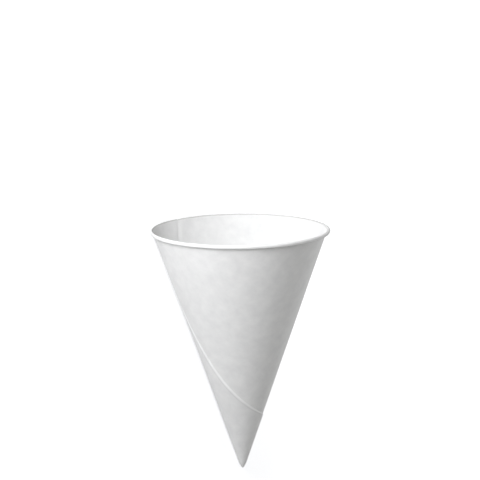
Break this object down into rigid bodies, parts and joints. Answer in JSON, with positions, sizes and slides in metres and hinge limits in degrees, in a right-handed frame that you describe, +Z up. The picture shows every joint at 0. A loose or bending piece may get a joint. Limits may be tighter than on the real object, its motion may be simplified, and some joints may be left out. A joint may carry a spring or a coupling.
{
  "type": "cone paper cup",
  "caption": "Pointed disposable drinking cup wound from one sheet of white paper into a lapped cone, with a rim rolled outwards, lying on its side.",
  "frame": {"origin": "on the surface that the cup lies on, under the middle of its box", "axes": "+X from the tip towards the mouth, +Y across the cup, +Z up; the cup's own axis lies in the XZ plane, 19.65 degrees above +X"},
  "size_m": [0.106, 0.072, 0.0679],
  "materials": {
    "paper": "matt, uncoated white"
  },
  "bodies": {
    "root": {"cone_cup": "paper"}
  },
  "joints": []
}
